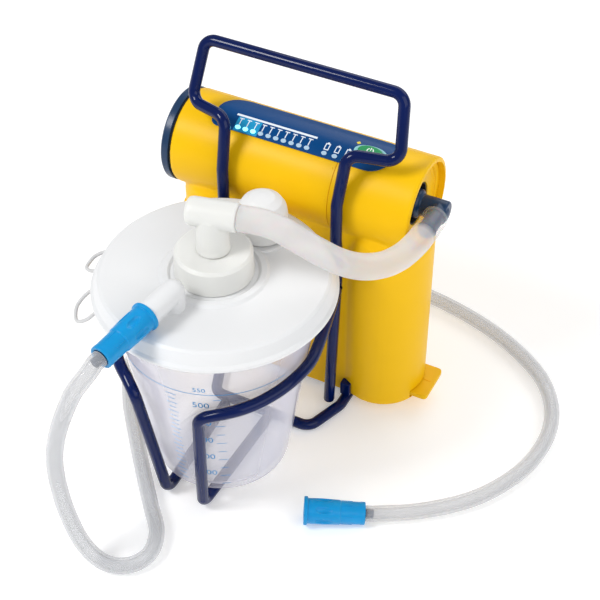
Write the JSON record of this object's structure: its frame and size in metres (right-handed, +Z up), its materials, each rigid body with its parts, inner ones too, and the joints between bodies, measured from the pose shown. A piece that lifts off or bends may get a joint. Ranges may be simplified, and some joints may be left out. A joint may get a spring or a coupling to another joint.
{
  "type": "suction pump",
  "caption": "Portable medical suction pump: barrel-shaped pump unit with carrying frame, lidded collection canister in a wire cradle, vacuum hose and patient tube.",
  "frame": {"origin": "centre of the footprint at the surface it stands on, cords left out", "axes": "+Z up, -Y towards the canister at the front, +X towards the vacuum port"},
  "size_m": [0.267, 0.2863, 0.2176],
  "materials": {
    "yellow_plastic": "satin moulded ABS",
    "navy_plastic": "satin moulded",
    "navy_paint": "glossy powder coat on steel rod",
    "black_plastic": "matte moulded",
    "black_rubber": "matte",
    "blue_panel": "printed membrane overlay",
    "led_lens": "translucent white",
    "green_plastic": "gloss",
    "brass": "turned",
    "motor_steel": "plated can",
    "screw_steel": "zinc plated",
    "silicone_hose": "translucent silicone",
    "white_silicone": "matte silicone",
    "battery_wrap": "shrink wrap",
    "circuit_board": "solder mask",
    "clear_canister": "clear moulded polycarbonate",
    "clear_cage": "clear moulded",
    "float_blue": "moulded",
    "white_plastic": "fine satin",
    "milky_plastic": "translucent moulded",
    "filter_paper": "bonded fibre",
    "blue_vinyl": "soft vinyl",
    "clear_vinyl_tube": "clear vinyl"
  },
  "bodies": {
    "root": {"front_housing": "yellow_plastic", "rear_housing": "yellow_plastic", "case_screw_1": "screw_steel", "case_screw_2": "screw_steel", "case_screw_3": "screw_steel", "case_screw_4": "screw_steel", "right_end_cap": "yellow_plastic", "port_liner": "black_plastic", "vacuum_port_elbow": "navy_plastic", "knob_seal": "black_rubber", "regulator_valve": "brass", "control_panel": "blue_panel", "vacuum_led_bar": "led_lens", "battery_led_bar": "led_lens", "power_inlet": "black_plastic", "base_plate": "black_plastic", "rubber_foot_1": "black_rubber", "rubber_foot_2": "black_rubber", "rubber_foot_3": "black_rubber", "rubber_foot_4": "black_rubber", "pump_motor": "motor_steel", "pump_body": "black_plastic", "pump_diaphragm": "black_rubber", "pump_cover": "black_plastic", "pump_hose": "silicone_hose", "vacuum_line": "silicone_hose", "exhaust_silencer": "black_plastic", "battery_pack": "battery_wrap", "circuit_board": "circuit_board", "carry_frame": "navy_paint", "base_rod": "navy_paint", "frame_bracket_left": "black_plastic", "frame_bracket_right": "black_plastic", "cradle_rod_left": "navy_paint", "cradle_rod_right": "navy_paint", "tip_connector": "blue_vinyl", "patient_tube": "clear_vinyl_tube", "vacuum_hose": "silicone_hose"},
    "canister_set": {"canister": "clear_canister", "lid_seal": "white_silicone", "float_cage": "clear_cage", "lid": "white_plastic", "filter_cap": "milky_plastic", "bacterial_filter": "filter_paper", "tee_elbow": "white_plastic", "tether_left": "white_silicone", "tether_front": "white_silicone", "tether_rear": "white_silicone", "patient_connector": "blue_vinyl"},
    "regulator_knob_body": {"regulator_knob": "navy_plastic"},
    "power_button_body": {"power_button": "green_plastic"},
    "motor_spindle_body": {"motor_spindle": "motor_steel"},
    "shutoff_float_body": {"shutoff_float": "float_blue"},
    "pour_spout_cap_body": {"pour_spout_cap": "white_silicone"},
    "battery_release_tab_body": {"battery_release_tab": "yellow_plastic"},
    "inlet_cover_body": {"inlet_cover": "yellow_plastic"}
  },
  "joints": [
    {"name": "canister_lift", "type": "slide", "parent": "root", "child": "canister_set", "axis": [0, 0, 1], "range_m": [0, 0.03], "deforming": ["vacuum_hose", "patient_tube"]},
    {"name": "knob_turn", "type": "hinge", "parent": "root", "child": "regulator_knob_body", "pos_m": [-0.075, 0.06565, 0.1448], "axis": [1, 0, 0], "range_deg": [0, 270]},
    {"name": "button_press", "type": "slide", "parent": "root", "child": "power_button_body", "axis": [0, 0.1736, -0.9848], "range_m": [0, 0.0012], "stiffness_N_per_m": 400},
    {"name": "spindle_turn", "type": "hinge", "parent": "root", "child": "motor_spindle_body", "pos_m": [-0.0488, 0.06365, 0.06], "axis": [0, 0, 1], "continuous": true},
    {"name": "float_rise", "type": "slide", "parent": "canister_set", "child": "shutoff_float_body", "axis": [0, 0, 1], "range_m": [0, 0.012]},
    {"name": "spout_cap_lift", "type": "slide", "parent": "canister_set", "child": "pour_spout_cap_body", "axis": [0, 0, 1], "range_m": [0, 0.018]},
    {"name": "tab_press", "type": "hinge", "parent": "root", "child": "battery_release_tab_body", "pos_m": [0.0697, 0.0677, 0.0132], "axis": [0, 1, 0], "range_deg": [0, 6], "stiffness_Nm_per_rad": 0.5},
    {"name": "inlet_cover_open", "type": "hinge", "parent": "root", "child": "inlet_cover_body", "pos_m": [-0.0746, 0.06565, 0.1], "axis": [0, 1, 0], "range_deg": [0, 85]}
  ]
}
